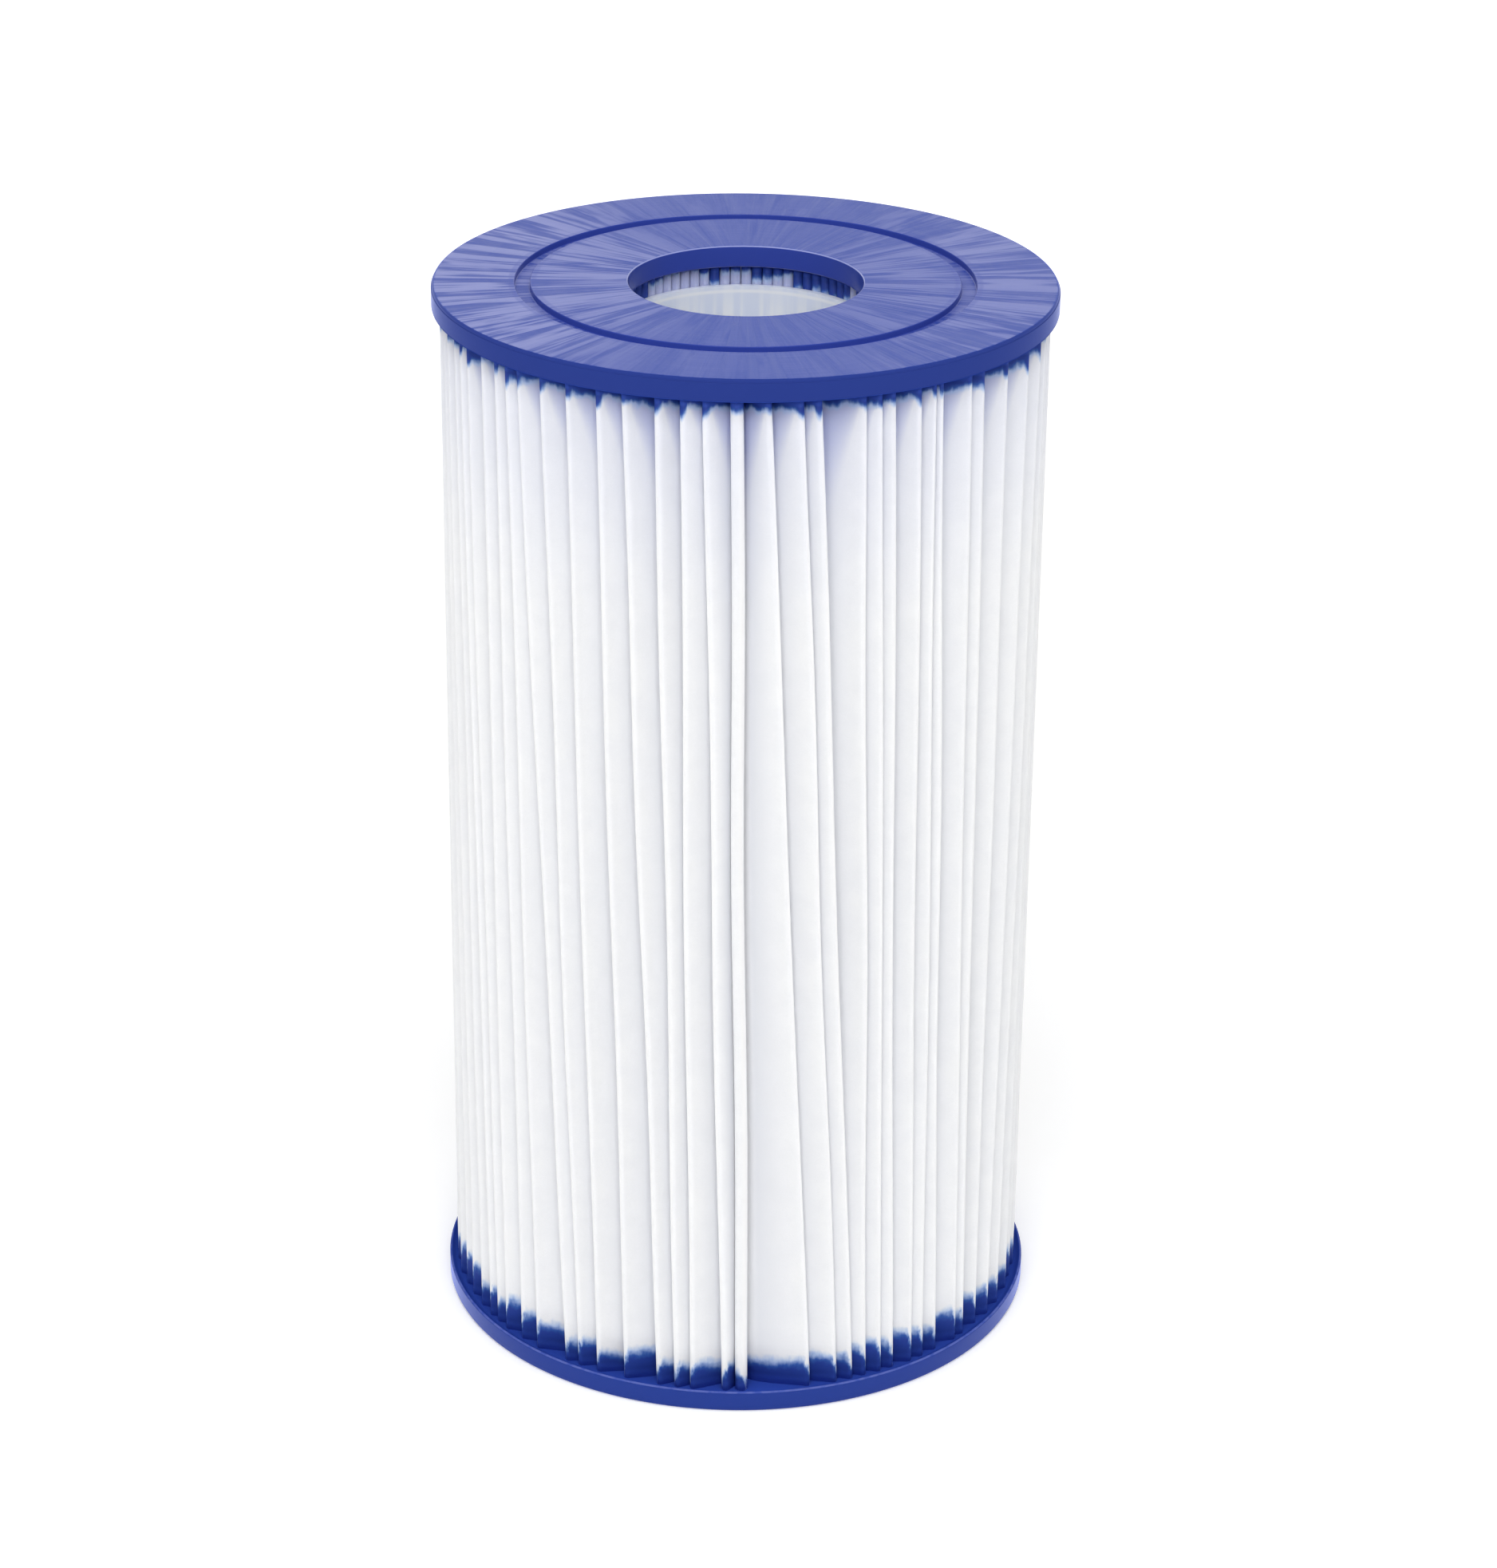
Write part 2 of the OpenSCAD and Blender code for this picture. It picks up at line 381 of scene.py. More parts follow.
def low_wick(pleats, crest):
    """How far the casting resin climbs from the lower cap at each point of one face."""
    count = pleats.count
    leg = rng.uniform(*LOW_LEG_CLIMB, (count, 2))
    tip = leg[:, :1] + (leg[:, 1:] - leg[:, :1]) * crest
    low = along_pleats(tip, leg, rng.uniform(*LOW_ROOT_CLIMB, count)) * MM
    line = pleats.middle_line(0)
    radius = np.linalg.norm(line, axis=1)
    low += WICK_SIDE * np.abs(line[:, 0]) / radius
    low -= WICK_FALL * np.minimum(TIP_R_LOW - radius, WICK_FALL_DEPTH)
    slope = rng.uniform(*WICK_SLOPE, (count, 2))
    low += along_pleats(0 * tip, slope, np.zeros(count)) * trough_column(pleats)
    return low


def high_wick(pleats, crest):
    """How far the casting resin comes down from the upper cap at each point of one face."""
    count = pleats.count
    patch = rng.uniform(0, 1, count)
    patch = (patch + np.roll(patch, 1)) / 2
    root = np.interp(patch, ROOT_PATCH, HIGH_ROOT_CLIMB)
    side = np.abs(np.sin(np.radians(pleats.upper)))[:, None]
    more = HIGH_LEG_MORE * rng.uniform(0, 1, (count, 2))
    leg = HIGH_LEG_CLIMB + more * np.minimum(HIGH_FRONT_SHARE + side, 1)
    peak = rng.uniform(*TOOTH_PLACE, count)[:, None]
    tooth = np.clip(TOOTH_TOP - np.abs(crest - peak) / TOOTH_WIDTH, 0, 1)
    tip = leg.mean(1)[:, None] + rng.uniform(*TOOTH_LENGTH, count)[:, None] * tooth
    high = along_pleats(tip, leg, root) * MM
    depth = TIP_R_HIGH - np.linalg.norm(pleats.middle_line(1), axis=1)
    return high + WICK_FALL * np.where(depth < WICK_FALL_DEPTH, depth, 0)


def crease_column(pleats):
    """Distance of each point of one face from the crease along its fold tip, measured at the lower cap."""
    line = pleats.middle_line(0)
    steps = np.linalg.norm(np.diff(line, axis=0), axis=1)
    run = np.concatenate([[0], np.cumsum(steps)])
    per_pleat = len(line) // pleats.count + 1
    first = 1 + LEG_POINTS + per_pleat * np.arange(pleats.count)
    last = first + TIP_STEPS
    marks = run[np.where(pleats.spreads_after, first + CREASE_STEP, last - CREASE_STEP)]
    after = np.clip(np.searchsorted(marks, run), 1, len(marks) - 1)
    return np.minimum(np.abs(run - marks[after - 1]), np.abs(run - marks[after]))


def pleated_sheet(pleats):
    """The folded sheet as one closed skin, with its resin heights stored on its points."""
    rings = []
    for share in np.linspace(0, 1, SHEET_LEVELS):
        outer = pleats.face(share, SHEET_T / 2)
        inner = pleats.face(share, -SHEET_T / 2)
        flat = np.concatenate([outer, inner[::-1]])
        height = np.full(len(flat), media_low.z + FLAT_WIDTH * share)
        rings.append(np.column_stack([flat, height]))
    size = len(rings[0])
    half = size // 2
    index = np.arange(SHEET_LEVELS * size).reshape(SHEET_LEVELS, size)
    low, high = index[:-1], index[1:]
    walls = np.stack([low, np.roll(low, -1, 1), np.roll(high, -1, 1), high], -1).reshape(-1, 4)
    step = np.arange(half - 1)
    edge = np.stack([step, size - 1 - step, size - 2 - step, step + 1], -1)
    faces = np.concatenate([walls, edge, index[-1][edge][:, ::-1]])
    obj = finish_mesh("pleated_sheet", np.concatenate(rings), faces)
    crest = np.linspace(0, 1, TIP_STEPS + 1)[None, :]
    columns = {
        "wick_low": low_wick(pleats, crest),
        "wick_high": high_wick(pleats, crest),
        "crease": crease_column(pleats),
        "trough": trough_column(pleats),
    }
    for name, column in columns.items():
        add_attribute(obj, name, np.tile(np.concatenate([column, column[::-1]]), SHEET_LEVELS))
    return obj


def seam_strip(pleats):
    """The adhesive between the sheet's two end flaps, following the flaps up the seam."""
    rows = []
    for height in np.linspace(seam_low.z, seam_high.z, SHEET_LEVELS):
        face = pleats.face((height - media_low.z) / FLAT_WIDTH, SHEET_T / 2)
        first, first_tip = face[0], face[1 + LEG_POINTS]
        last, last_tip = face[-1], face[-2 - LEG_POINTS]
        depth = (seam_high.x - seam_low.x) / np.linalg.norm(first_tip - first)
        first_out = first + (first_tip - first) * depth
        last_out = last + (last_tip - last) * depth
        rows.append([(*p, height) for p in (first, first_out, last_out, last)])
    sides = len(rows[0])
    vertices = [p for row in rows for p in row]
    top = len(vertices) - sides
    faces = [tuple(reversed(range(sides))), tuple(range(top, len(vertices)))]
    for base in range(0, top, sides):
        for side in range(sides):
            a, b = base + side, base + (side + 1) % sides
            faces.append((a, b, b + sides, a + sides))
    return finish_mesh("seam_bead", vertices, faces, smooth=False)


def fillet(centre_r, centre_h, radius, start, end, steps=SMALL_FILLET_STEPS):
    """Points of an arc in a profile, angles in degrees."""
    angles = np.radians(np.linspace(start, end, steps + 1))
    return [(centre_r + radius * math.cos(a), centre_h + radius * math.sin(a)) for a in angles]


def cap_profile():
    """Half section of a cap as (radius, height over its inner face), anticlockwise from its inner edge."""
    top, floor = CAP_T, CAP_T - GROOVE_DEPTH
    g = GROOVE_FILLET
    step_r = CAP_R - STEP_WIDTH
    step = CAP_T - STEP_DROP
    cast = CAST_FILLET
    points = fillet(BORE_R + cast, cast, cast, 270, 180)
    points += fillet(BORE_R + BORE_FILLET, top - BORE_FILLET, BORE_FILLET, 180, 90, FILLET_STEPS)
    points += fillet(GROOVE_IN_R - g, top - g, g, 90, 0)
    points += fillet(GROOVE_IN_R + g, floor + g, g, 180, 270)
    points += fillet(GROOVE_OUT_R - g, floor + g, g, 270, 360)
    points += fillet(GROOVE_OUT_R + g, top - g, g, 180, 90)
    points += fillet(step_r - CAP_FILLET, top - CAP_FILLET, CAP_FILLET, 90, 0, FILLET_STEPS)
    points += [(step_r, step), (CAP_R, step)]
    points += fillet(CAP_R - cast, cast, cast, 0, -90)
    points += [(r * MM, depth * MM) for r, depth in reversed(SUNK_RESIN)]
    return points


def cap_zone(start, end):
    """Finish of one edge of a cap's profile."""
    radius, height = (start[0] + end[0]) / 2, (start[1] + end[1]) / 2
    if height < INNER_FACE_REACH:
        return INSIDE_ZONE
    return RIM_ZONE if radius > CAP_R - CAP_FILLET - STEP_WIDTH else FACE_ZONE


def end_cap(name, upper):
    """A cast end cap, turned from its profile; the upper one faces up and the lower one down."""
    profile = cap_profile()
    if not upper:
        profile = profile[::-1]
    zones = [cap_zone(a, b) for a, b in zip(profile, profile[1:] + profile[:1])]
    if not upper:
        profile = [(r, -h) for r, h in profile]
    base = UPPER_FACE if upper else LOWER_FACE
    turn = np.linspace(0, 2 * math.pi, CAP_SEGMENTS, endpoint=False)
    r = np.array([p[0] for p in profile])
    h = np.array([p[1] for p in profile]) + base
    x, y = np.outer(np.cos(turn), r), np.outer(np.sin(turn), r)
    vertices = np.stack([x, y, np.tile(h, (CAP_SEGMENTS, 1))], -1).reshape(-1, 3)
    index = np.arange(len(vertices)).reshape(CAP_SEGMENTS, len(profile))
    beside = np.roll(index, -1, 0)
    faces = np.stack([index, beside, np.roll(beside, -1, 1), np.roll(index, -1, 1)], -1).reshape(-1, 4)
    obj = finish_mesh(name, vertices, faces[:, ::-1])
    obj.data.polygons.foreach_set("material_index", zones * CAP_SEGMENTS)
    obj.modifiers.new("flat faces keep flat shading", "WEIGHTED_NORMAL").keep_sharp = False
    return obj


# Sockets of a Mix node for colours
MIX_A, MIX_B, MIX_RESULT = 6, 7, 2


class Nodes:
    """A new material's node tree, with short calls to add and link nodes."""

    def __init__(self, name):
        self.material = bpy.data.materials.new(name)
        self.material.use_nodes = True
        self.tree = self.material.node_tree
        self.shader = self.tree.nodes["Principled BSDF"]
        self.point = self.add("ShaderNodeTexCoord").outputs["Object"]

    def add(self, kind, **settings):
        node = self.tree.nodes.new(kind)
        for key, value in settings.items():
            setattr(node, key, value)
        return node

    def put(self, socket, value):
        """Links an output to a socket, or sets the socket to a plain value."""
        if isinstance(value, bpy.types.NodeSocket):
            self.tree.links.new(value, socket)
        elif isinstance(value, (tuple, list)) and len(value) == 3 and len(socket.default_value) == 4:
            socket.default_value = (*value, 1)
        else:
            socket.default_value = value

    def math(self, operation, a, b=0.0, clamp=False):
        node = self.add("ShaderNodeMath", operation=operation, use_clamp=clamp)
        self.put(node.inputs[0], a)
        self.put(node.inputs[1], b)
        return node.outputs[0]

    def plus(self, a, b):
        return self.math("ADD", a, b)

    def minus(self, a, b):
        return self.math("SUBTRACT", a, b)

    def times(self, a, b):
        return self.math("MULTIPLY", a, b)

    def most(self, a, b):
        return self.math("MAXIMUM", a, b)

    def apart(self, a, b):
        return self.math("ABSOLUTE", self.minus(a, b))

    def drawn_out(self, share):
        """The point with its height cut to a share, which draws a noise out along the part's axis."""
        node = self.add("ShaderNodeVectorMath", operation="MULTIPLY")
        self.put(node.inputs[0], self.point)
        self.put(node.inputs[1], (1.0, 1.0, share))
        return node.outputs[0]

    def noise(self, scale, detail=2.0, vector=None, distortion=0.0):
        node = self.add("ShaderNodeTexNoise")
        self.put(node.inputs["Vector"], self.point if vector is None else vector)
        node.inputs["Scale"].default_value = scale
        node.inputs["Detail"].default_value = detail
        node.inputs["Distortion"].default_value = distortion
        return node.outputs["Fac"]

    def ramp(self, value, low, high, to_low=0.0, to_high=1.0):
        """A smooth step from to_low, where the value is low, to to_high, where it is high."""
        node = self.add("ShaderNodeMapRange", interpolation_type="SMOOTHSTEP")
        for key, item in (("Value", value), ("From Min", low), ("From Max", high)):
            self.put(node.inputs[key], item)
        node.inputs["To Min"].default_value = to_low
        node.inputs["To Max"].default_value = to_high
        return node.outputs["Result"]

    def mix(self, share, a, b):
        node = self.add("ShaderNodeMix", data_type="RGBA")
        self.put(node.inputs["Factor"], share)
        self.put(node.inputs[MIX_A], a)
        self.put(node.inputs[MIX_B], b)
        return node.outputs[MIX_RESULT]

    def attribute(self, name):
        return self.add("ShaderNodeAttribute", attribute_name=name).outputs["Fac"]

    def split(self, vector):
        node = self.add("ShaderNodeSeparateXYZ")
        self.put(node.inputs[0], vector)
        return node.outputs

    def height(self):
        return self.split(self.point)[2]

    def bump(self, height, strength, distance, under=None):
        node = self.add("ShaderNodeBump")
        node.inputs["Strength"].default_value = strength
        node.inputs["Distance"].default_value = distance
        self.put(node.inputs["Height"], height)
        if under is not None:
            self.put(node.inputs["Normal"], under)
        return node.outputs["Normal"]

    def set(self, **values):
        """Sets or links inputs of the shader, with _ for a space in a name."""
        for key, value in values.items():
            self.put(self.shader.inputs[key.replace("_", " ")], value)


# Colours of the caps, some with painted light, shade and highlights in them
CAP_BLUE = (0.0225, 0.0435, 0.239)
# The lower cap's walls are painted a brighter, bluer blue, as painted light for the light they lack
CAP_LOWER_LIT_BLUE = (0.0165, 0.043, 0.268)
# Painted fill light: bore, groove walls and inner faces painted lighter than the rim to lift their shade; on
# the flat face's groove this colour gives painted shade
CAP_HOLLOW_FILL_AND_SHADE = (0.035, 0.062, 0.347)
# Painted fill light: the inner face's outer ledge painted lighter to lift the shade between the pleat feet
CAP_LEDGE_PAINTED_LIGHT = (0.0245, 0.06, 0.355)
# Painted highlight on the caps' bright edges
CAP_PAINTED_HIGHLIGHT = (0.40, 0.44, 0.76)
# The flat face is painted lighter than the walls as a painted reflection, and lighter again in a painted
# sheen over its flow streaks
CAP_FACE_LIT_BLUE = (0.032, 0.066, 0.343)
CAP_FACE_SHEEN = (0.215, 0.244, 0.53)
CAP_SHEEN_TINT = (0.28, 0.37, 1.0)
# Gloss and sheen of the caps' finishes
FACE_FINISH = (0.055, 0.0)
UPPER_RIM_FINISH = (0.008, 0.55)
LOWER_RIM_FINISH = (0.075, 1.0)
INSIDE_FINISH = (0.0, 0.0)
SHEEN_ROUGHNESS = 0.4
CAP_ROUGHNESS = 0.18
# From here on, a pair of values is where a look sets in and where it is full.
# A second pair, where there is one, is what it then goes from and to.

# Looks of a cap by how far its surface faces outwards along the axis
FLAT_FACE = (0.9, 0.99)
MOUTH_START = (0.2, 0.5)
MOUTH_END = (0.97, 0.85)
LIP_START = (-0.1, -0.4)
INNER_FACE = (-0.3, -0.6)
# Looks of a cap by the distance from the axis
FLAT_FACE_R = (CAP_R - STEP_WIDTH, CAP_R - 2 * STEP_WIDTH)
MOUTH_R = (GROOVE_IN_R - 2 * MM, GROOVE_IN_R - 4 * MM)
BORE_LIP_R = (BORE_R + 0.6 * MM, BORE_R + 0.5 * MM)
BORE_WALL_R = (BORE_R + 1.0 * MM, BORE_R + 0.5 * MM)
LEDGE_R = (0.8 * CAP_R, 0.85 * CAP_R)
RIM_LIP_WIDTH = (0.5 * MM, 0.4 * MM)
GROOVE_WIDTH = GROOVE_OUT_R - GROOVE_IN_R
GROOVE_BAND = (GROOVE_WIDTH, GROOVE_WIDTH * 0.8)
# Strength of the painted highlights on a cap's bright edges
EDGE_HIGHLIGHT = 0.75
LIP_HIGHLIGHT = 0.4
RIM_LIP_SHARE = 0.65
LIP_PATCHES = (0.3, 0.6, 0.35, 1.0)
# Painted sheen over a cap's flow streaks: it shows most at the sides, on the left and outside the groove
BROAD_SHARE = 0.45
FINE_SHARE = 0.55
SIDE_SHEEN = (0.3, 0.92, 0.2, 1.0)
LEFT_SHEEN = (-0.6, 0.6, 1.05, 0.68)
OUTER_SHEEN = (GROOVE_IN_R, GROOVE_OUT_R, 0.76, 1.0)
RING_SHEEN = (0.2, 1.0, 0.36, 0.2)
STREAK_CONTRAST = (0.43, 0.57, 0.0, 1.3)
STREAK_MIDDLE = 0.65
SHEEN_LIFT = 0.5
STREAK_ROUGHNESS = (0.4, 1.0, 0.18, 0.34)
RING_ROUGHNESS_SHARE = 0.4
GROOVE_SHADE = 0.3

# Colours of the sheet, soaked and clean
STAIN_DEEP = (0.021, 0.052, 0.30)
# Painted light that lifts the shade at the pleats' feet by the lower cap
STAIN_FOOT_PAINTED_LIGHT = (0.038, 0.09, 0.455)
STAIN_MID = (0.04, 0.12, 0.42)
# Painted light that lifts the shadow under the upper cap's rim
STAIN_HEM_PAINTED_LIGHT = (0.04, 0.092, 0.47)
STAIN_EDGE = (0.42, 0.55, 0.80)
MEDIA_WHITE = (0.91, 0.918, 0.952)
MEDIA_SHADE = (0.875, 0.885, 0.918)
# Painted highlight on the crests, and painted light deep in the troughs
MEDIA_PAINTED_LIGHT = (0.95, 0.953, 0.965)
# Painted shade down the troughs
MEDIA_TROUGH_PAINTED_SHADE = (0.775, 0.787, 0.825)
# Painted shadow of the upper cap, lavender from the blue cap's bounce light
MEDIA_CAP_SHADOW = (0.42, 0.46, 0.72)
# The resin's line in the sheet: how far it blurs, and the pale hem outside it
SOAK_BLUR = (-0.9 * MM, 1.0 * MM)
SOAK_HEM = (-2.4 * MM, 0.0)
# On a crest the resin climbs only a share of its height, and the crest's line strays with the fibres
CREST_CLIMB = (0.05 * MM, 1.7 * MM, 0.42, 1.0)
CREST_STRAY = 1.7 * MM
DRIP_LENGTH = 3.0 * MM
DRIP_SHARPNESS = 1.6
# Raggedness of the line from the fibres, small blots and broad waves, and the middle of their sum
FIBRE_RAGGED = 1.0 * MM
BLOT_RAGGED = 2.6 * MM
WAVE_RAGGED = 2.4 * MM
RAGGED_MIDDLE = 3.0 * MM
# Bands of the soaked sheet: deep in the stain, painted light by the lower and by the upper cap, threads on
# the crests
DEEP_BAND = (0.3 * MM, 2.0 * MM)
FOOT_LIGHT_BAND = (2.2 * MM, 0.4 * MM)
HEM_LIGHT_BAND = (2.2 * MM, 1.2 * MM)
THREAD_WIDTH = (0.5 * MM, 0.1 * MM)
THREAD_PATCHES = (0.35, 0.6, 0.15, 0.7)
# The clean sheet: its grain, painted shade down its troughs, painted light deep in them, a painted highlight
# on its crests
CLOUD_SHARE = 0.6
MOTTLE_SHARE = 0.4
GRAIN_RANGE = (0.35, 0.65)
TROUGH_SHADE = (0.0, 0.8, 0.0, 0.9)
TROUGH_PAINTED_LIGHT = (0.7, 0.95, 0.0, 0.9)
CREST_HIGHLIGHT_BAND = (0.35 * MM, 0.95 * MM, 0.85, 0.0)
# How far down the upper cap's painted shadow reaches in a trough, per length of its depth, and a faint one
# farther down
CAP_SHADOW_REACH = 7.0
CAP_SHADOW_LEAST_REACH = 0.1 * MM
CAP_SHADOW_MARGIN = 0.3 * MM
CAP_SHADOW_SHARE = 0.85
BROAD_CAP_SHADOW = (60 * MM, 4 * MM, 0.0, 0.2)
# Finish of the sheet, clean and soaked
SHEET_ROUGHNESS = (0.92, 0.5)
SHEET_SCATTER = (0.9, 0.0)
SHEET_GLOSS = 0.15
FIBRE_BUMP_SHARE = 0.5

# The core, with a painted shade below its rim and a painted highlight just under the rim
CORE_CLEAR = (0.94, 0.97, 1.0)
CORE_DULL = (0.775, 0.835, 0.96)
CORE_SHADE = (0.785, 0.84, 0.955)
CORE_LIP_HIGHLIGHT = (0.95, 0.975, 1.0)
CORE_FLOW = (0.42, 0.6)
CORE_SHADE_BAND = (8.0 * MM, 1.5 * MM, 0.0, 0.6)
CORE_LIP_DROP = 1.2 * MM
CORE_LIP_HIGHLIGHT_WIDTH = (0.65 * MM, 0.1 * MM)
CORE_LIP_HIGHLIGHT_SHARE = 0.9
CORE_ROUGHNESS = (0.3, 0.7, 0.28, 0.42)
CORE_SCATTER = 0.1

# The seam
SEAM_DULL = (0.70, 0.68, 0.58)
SEAM_CLEAR = (0.84, 0.83, 0.76)
SEAM_CLOUD = (0.3, 0.7)
SEAM_ROUGHNESS = (0.35, 0.55)
SEAM_SCATTER = 0.2

EVEN_SCATTER = (1.0, 1.0, 1.0)
PLASTIC_IOR = 1.49
# The lower half of the part, by height
LOWER_HALF = (0.6 * HEIGHT, 0.4 * HEIGHT)
# Middle of every noise, which runs from 0 to 1
NOISE_MIDDLE = 0.5


def from_axis(n):
    """Direction from the part's axis as x and y, and distance from the axis."""
    x, y, _ = n.split(n.point)
    flat = n.add("ShaderNodeCombineXYZ")
    n.put(flat.inputs[0], x)
    n.put(flat.inputs[1], y)
    length = n.add("ShaderNodeVectorMath", operation="LENGTH")
    n.put(length.inputs[0], flat.outputs[0])
    way = n.add("ShaderNodeVectorMath", operation="NORMALIZE")
    n.put(way.inputs[0], flat.outputs[0])
    way_x, way_y, _ = n.split(way.outputs[0])
    return way_x, way_y, length.outputs["Value"]


def polar_noise(n, turn_scale, radius_scale, detail, distortion=0.0):
    """Noise that is drawn out along the radius or round the axis."""
    way_x, way_y, radius = from_axis(n)
    polar = n.add("ShaderNodeCombineXYZ")
    n.put(polar.inputs[0], n.times(way_x, turn_scale))
    n.put(polar.inputs[1], n.times(way_y, turn_scale))
    n.put(polar.inputs[2], n.times(radius, radius_scale))
    return n.noise(1.0, detail, polar.outputs[0], distortion)


def lower_half(n):
    """1 in the lower half of the part, 0 in the upper half."""
    return n.ramp(n.height(), *LOWER_HALF)


def cap_rise(n):
    """How far a cap's surface faces outwards along the axis: 1 on its outer face, -1 on its inner face."""
    normal = n.add("ShaderNodeNewGeometry").outputs["Normal"]
    outward = n.math("SIGN", n.minus(n.height(), HEIGHT / 2))
    return n.times(n.split(normal)[2], outward)


def cap_groove(n, radius):
    """1 in and beside the ring groove."""
    return n.ramp(n.apart(radius, (GROOVE_IN_R + GROOVE_OUT_R) / 2), *GROOVE_BAND)


def cap_edge_highlights(n, rise, radius):
    """Painted highlights on bright edges: round the opening's outer edge, and in patches along the cast lips
    of the opening and of the lower rim.
    """
    # Painted highlight round the opening's outer edge
    mouth_highlight = n.times(n.ramp(rise, *MOUTH_START), n.ramp(rise, *MOUTH_END))
    mouth_highlight = n.times(mouth_highlight, n.ramp(radius, *MOUTH_R))
    # Painted highlight along the cast lips, in patches
    at_rim = n.times(n.ramp(n.apart(radius, CAP_R), *RIM_LIP_WIDTH), lower_half(n))
    at_bore = n.ramp(radius, *BORE_LIP_R)
    lip_highlight = n.times(n.ramp(rise, *LIP_START), n.most(n.times(at_rim, RIM_LIP_SHARE), at_bore))
    lip_highlight = n.times(lip_highlight, n.ramp(n.noise(scale=420.0, detail=3.0), *LIP_PATCHES))
    return n.most(mouth_highlight, n.times(lip_highlight, LIP_HIGHLIGHT))


def cap_body(n, rise, radius, in_groove):
    """Colour of a cap's walls, edges and inner face: the lower cap's walls, the hollows and the ledge
    painted lighter to lift their shade, and painted highlights on the edges.
    """
    facing_in = n.ramp(rise, *INNER_FACE)
    inside = n.most(facing_in, n.ramp(radius, *BORE_WALL_R))
    # The lower cap's walls get the painted lighter blue
    rim = n.mix(lower_half(n), CAP_BLUE, CAP_LOWER_LIT_BLUE)
    # Painted fill light in the bore, the groove and on the inner faces
    body = n.mix(n.most(inside, in_groove), rim, CAP_HOLLOW_FILL_AND_SHADE)
    # Painted fill light on the ledge
    ledge = n.times(facing_in, n.ramp(radius, *LEDGE_R))
    body = n.mix(ledge, body, CAP_LEDGE_PAINTED_LIGHT)
    # Painted highlights on the edges
    return n.mix(n.times(cap_edge_highlights(n, rise, radius), EDGE_HIGHLIGHT), body, CAP_PAINTED_HIGHLIGHT)


def cap_face(n, streaks, ring, in_groove):
    """Colour of a cap's flat outer face: blue painted lighter than the walls, with a painted sheen over pale
    flow streaks and faint rings, and painted shade in the groove.
    """
    sideways, _, radius = from_axis(n)
    # Painted sheen: most at the sides, on the left and outside the groove
    side = n.ramp(n.math("ABSOLUTE", sideways), *SIDE_SHEEN)
    painted_sheen = n.times(side, n.ramp(sideways, *LEFT_SHEEN))
    painted_sheen = n.times(painted_sheen, n.ramp(radius, *OUTER_SHEEN))
    contrast = n.minus(n.ramp(streaks, *STREAK_CONTRAST), STREAK_MIDDLE)
    rings = n.times(n.minus(ring, NOISE_MIDDLE), n.ramp(side, *RING_SHEEN))
    flow_and_sheen = n.plus(n.times(contrast, painted_sheen), rings)
    flow_and_sheen = n.math("ADD", flow_and_sheen, n.times(painted_sheen, SHEEN_LIFT), clamp=True)
    face = n.mix(flow_and_sheen, CAP_FACE_LIT_BLUE, CAP_FACE_SHEEN)
    # Painted shade in the groove
    return n.mix(n.times(in_groove, GROOVE_SHADE), face, CAP_HOLLOW_FILL_AND_SHADE)


def cap_material(name, finish):
    """Cast polyurethane: deep blue, satin, with flow streaks that fan out over the flat faces, and painted
    light, shade, sheen and highlights in its colour.
    """
    n = Nodes(name)
    gloss, sheen = finish
    streak = polar_noise(n, turn_scale=34.0, radius_scale=22.0, detail=4.0, distortion=0.25)
    broad = polar_noise(n, turn_scale=8.0, radius_scale=30.0, detail=3.0, distortion=0.8)
    ring = polar_noise(n, turn_scale=2.0, radius_scale=900.0, detail=3.0)
    streaks = n.plus(n.times(broad, BROAD_SHARE), n.times(streak, FINE_SHARE))
    radius = from_axis(n)[2]
    rise = cap_rise(n)
    in_groove = cap_groove(n, radius)
    level = n.times(n.ramp(rise, *FLAT_FACE), n.ramp(radius, *FLAT_FACE_R))
    body = cap_body(n, rise, radius, in_groove)
    face = cap_face(n, streaks, ring, in_groove)
    rough = n.ramp(n.plus(streak, n.times(ring, RING_ROUGHNESS_SHARE)), *STREAK_ROUGHNESS)
    n.set(
        Base_Color=n.mix(level, body, face),
        Roughness=n.plus(n.times(rough, level), CAP_ROUGHNESS),
        Specular_IOR_Level=gloss,
        Sheen_Weight=sheen,
        Sheen_Roughness=SHEEN_ROUGHNESS,
        Sheen_Tint=CAP_SHEEN_TINT,
    )
    first = n.bump(n.times(streaks, level), strength=0.7, distance=0.6 * MM)
    second = n.bump(n.times(ring, level), strength=0.25, distance=0.06 * MM, under=first)
    pores = n.noise(scale=900.0, detail=3.0)
    n.set(Normal=n.bump(pores, strength=0.12, distance=0.08 * MM, under=second))
    return n.material


def soak_depth(n, above_lower, below_upper, crease, fibres, blots):
    """How deep a point of the sheet lies inside the resin's ragged line."""
    climb = n.ramp(crease, *CREST_CLIMB)
    inside_low = n.minus(n.times(n.attribute("wick_low"), climb), above_lower)
    drips = n.noise(scale=420.0, detail=3.0, vector=n.drawn_out(0.15))
    drips = n.times(n.minus(drips, NOISE_MIDDLE), DRIP_LENGTH)
    reach_high = n.plus(n.attribute("wick_high"), drips)
    inside_high = n.times(n.minus(reach_high, below_upper), DRIP_SHARPNESS)
    ragged = n.plus(n.times(fibres, FIBRE_RAGGED), n.times(blots, BLOT_RAGGED))
    ragged = n.plus(ragged, n.times(n.noise(scale=130.0, detail=2.0), WAVE_RAGGED))
    return n.minus(n.plus(n.most(inside_low, inside_high), ragged), RAGGED_MIDDLE)


